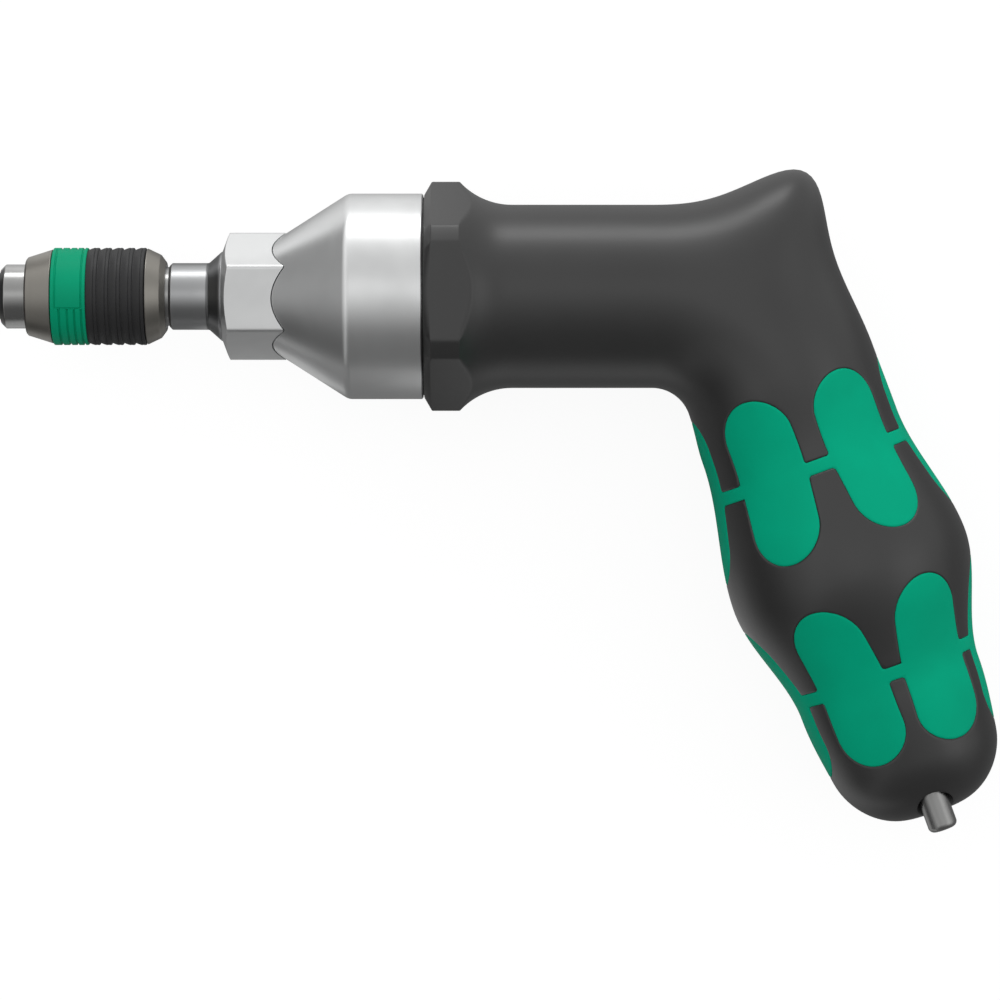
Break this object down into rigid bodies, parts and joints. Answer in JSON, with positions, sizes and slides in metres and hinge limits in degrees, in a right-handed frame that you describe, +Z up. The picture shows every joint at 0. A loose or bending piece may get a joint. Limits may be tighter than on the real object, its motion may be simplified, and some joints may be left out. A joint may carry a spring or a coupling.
{
  "type": "torque screwdriver",
  "caption": "Pistol-handled torque screwdriver with a quick-release bit chuck, metal clutch head and soft-zone grip.",
  "frame": {"origin": "centre of the bit socket's mouth, on the barrel's axis", "axes": "+X along the barrel towards the handle, +Z up with the tool lying on its side, -Y the way the grip hangs"},
  "size_m": [0.1523, 0.1009, 0.0354],
  "materials": {
    "black_plastic": "fine satin moulded",
    "green_soft": "soft matt overmould",
    "green_plastic": "satin moulded",
    "black_rubber": "matt",
    "satin_head": "satin chromed, turned",
    "satin_shaft": "satin, turned",
    "bright_steel": "bright turned",
    "sleeve_metal": "satin grey",
    "machined_steel": "machined",
    "hardened_steel": "ground",
    "spring_steel": "drawn wire",
    "bronze": "sintered",
    "key_steel": "nickelled"
  },
  "bodies": {
    "handle": {"grip_shell": "black_plastic", "upper_soft_zone": "green_soft", "lower_soft_zone": "green_soft", "clutch_housing": "machined_steel", "guide_pins": "hardened_steel", "end_cap": "machined_steel", "thrust_washer": "hardened_steel", "dust_ring": "black_rubber", "key_grommet": "black_rubber", "clutch_spring": "spring_steel"},
    "head": {"clutch_head": "satin_head", "drive_shaft": "satin_shaft", "chuck_body": "bright_steel", "stop_ring": "spring_steel", "cam_ring": "hardened_steel", "head_bush": "bronze", "retaining_ring": "spring_steel", "sleeve_spring": "spring_steel"},
    "release_sleeve": {"release_sleeve": "sleeve_metal", "rear_ring": "sleeve_metal"},
    "spin_sleeve": {"sleeve_carrier": "black_plastic", "sleeve_band": "green_plastic", "sleeve_ribs": "black_rubber"},
    "lock_ball": {"lock_ball": "hardened_steel"},
    "clutch_plate": {"pressure_plate": "machined_steel", "clutch_balls": "hardened_steel"},
    "adjusting_screw": {"adjusting_screw": "machined_steel"},
    "adjusting_nut": {"adjusting_nut": "machined_steel"},
    "setting_key": {"setting_key": "key_steel"}
  },
  "joints": [
    {"name": "head_turn", "type": "hinge", "parent": "handle", "child": "head", "pos_m": [0.06, 0, 0], "axis": [1, 0, 0], "continuous": true},
    {"name": "sleeve_slide", "type": "slide", "parent": "head", "child": "release_sleeve", "axis": [-1, 0, 0], "range_m": [0, 0.0025], "stiffness_N_per_m": 400, "deforming": ["sleeve_spring"]},
    {"name": "sleeve_spin", "type": "hinge", "parent": "release_sleeve", "child": "spin_sleeve", "pos_m": [0.015, 0, 0], "axis": [1, 0, 0], "continuous": true},
    {"name": "ball_lift", "type": "slide", "parent": "head", "child": "lock_ball", "axis": [0, 1, 0], "range_m": [0, 0.00065]},
    {"name": "clutch_lift", "type": "slide", "parent": "handle", "child": "clutch_plate", "axis": [1, 0, 0], "range_m": [0, 0.0008], "stiffness_N_per_m": 2000, "deforming": ["clutch_spring"]},
    {"name": "screw_turn", "type": "hinge", "parent": "handle", "child": "adjusting_screw", "pos_m": [0.08, 0, 0], "axis": [1, 0, 0], "range_deg": [-720, 720]},
    {"name": "nut_slide", "type": "slide", "parent": "handle", "child": "adjusting_nut", "axis": [1, 0, 0], "range_m": [-0.00255, 0.00255]},
    {"name": "key_slide", "type": "slide", "parent": "handle", "child": "setting_key", "axis": [0.342, -0.9397, 0], "range_m": [0, 0.07]}
  ],
  "couplings": [
    {"joint": "ball_lift", "follows": "sleeve_slide", "ratio": 0.25},
    {"joint": "nut_slide", "follows": "screw_turn", "m_per_rad": 0.00019894}
  ]
}
